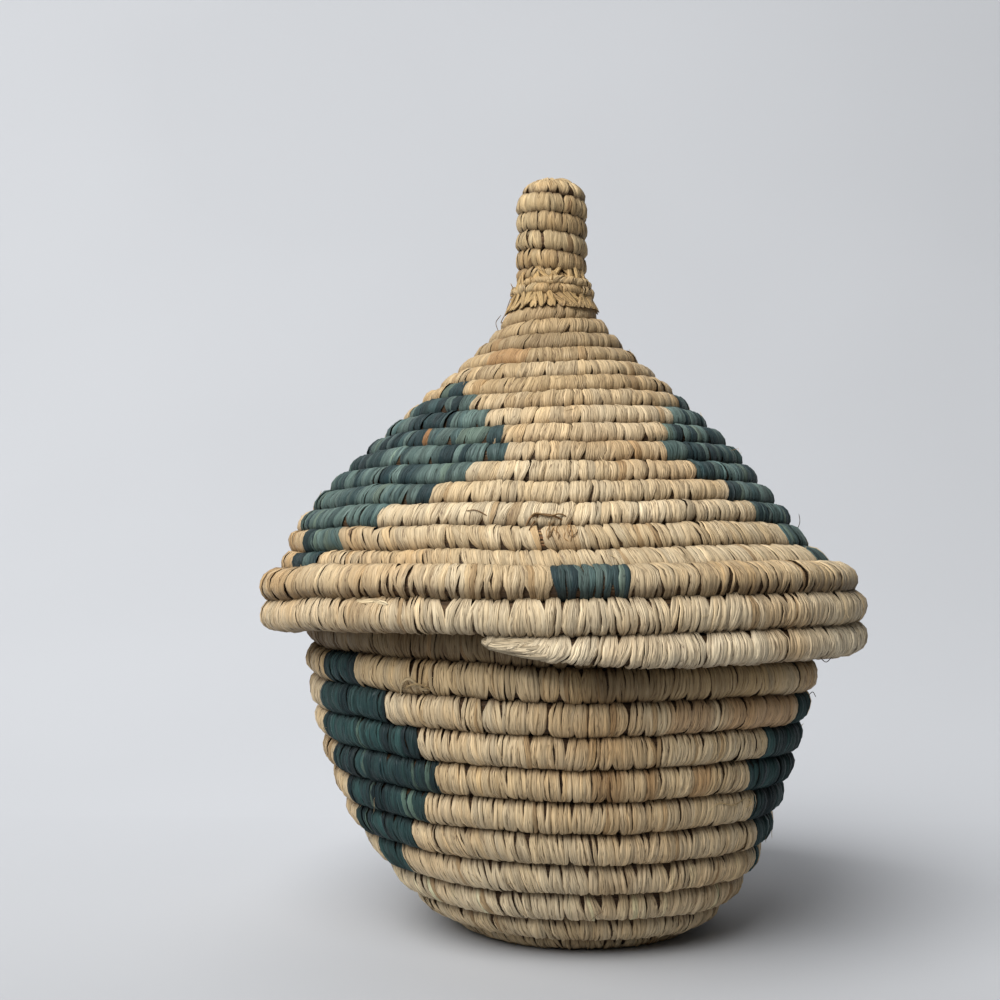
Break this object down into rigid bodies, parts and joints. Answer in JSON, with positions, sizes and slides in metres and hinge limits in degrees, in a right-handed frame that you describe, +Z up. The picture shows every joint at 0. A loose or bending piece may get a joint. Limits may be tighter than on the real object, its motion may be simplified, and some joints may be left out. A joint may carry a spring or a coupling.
{
  "type": "lidded coiled basket",
  "caption": "Small round coiled raffia basket with a peaked lid that lifts off by the finial at its top.",
  "frame": {"origin": "on the ground, under the middle of the basket's footprint", "axes": "+Z up along the basket's axis towards the finial, -Y towards the front (the pictured side), +X to the right seen from the front"},
  "size_m": [0.1054, 0.1052, 0.1312],
  "materials": {
    "raffia_bowl": "matte",
    "raffia_lid": "matte",
    "raffia_finial": "matte",
    "fibre_core": "matte"
  },
  "bodies": {
    "basket": {"bowl_coil": "raffia_bowl"},
    "lid": {"lid_coil": "raffia_lid", "finial_core": "fibre_core", "neck_binding": "raffia_finial", "finial_wrap": "raffia_finial"}
  },
  "joints": [
    {"name": "lid_lift", "type": "slide", "parent": "basket", "child": "lid", "axis": [0, 0, 1], "range_m": [0, 0.08]}
  ]
}
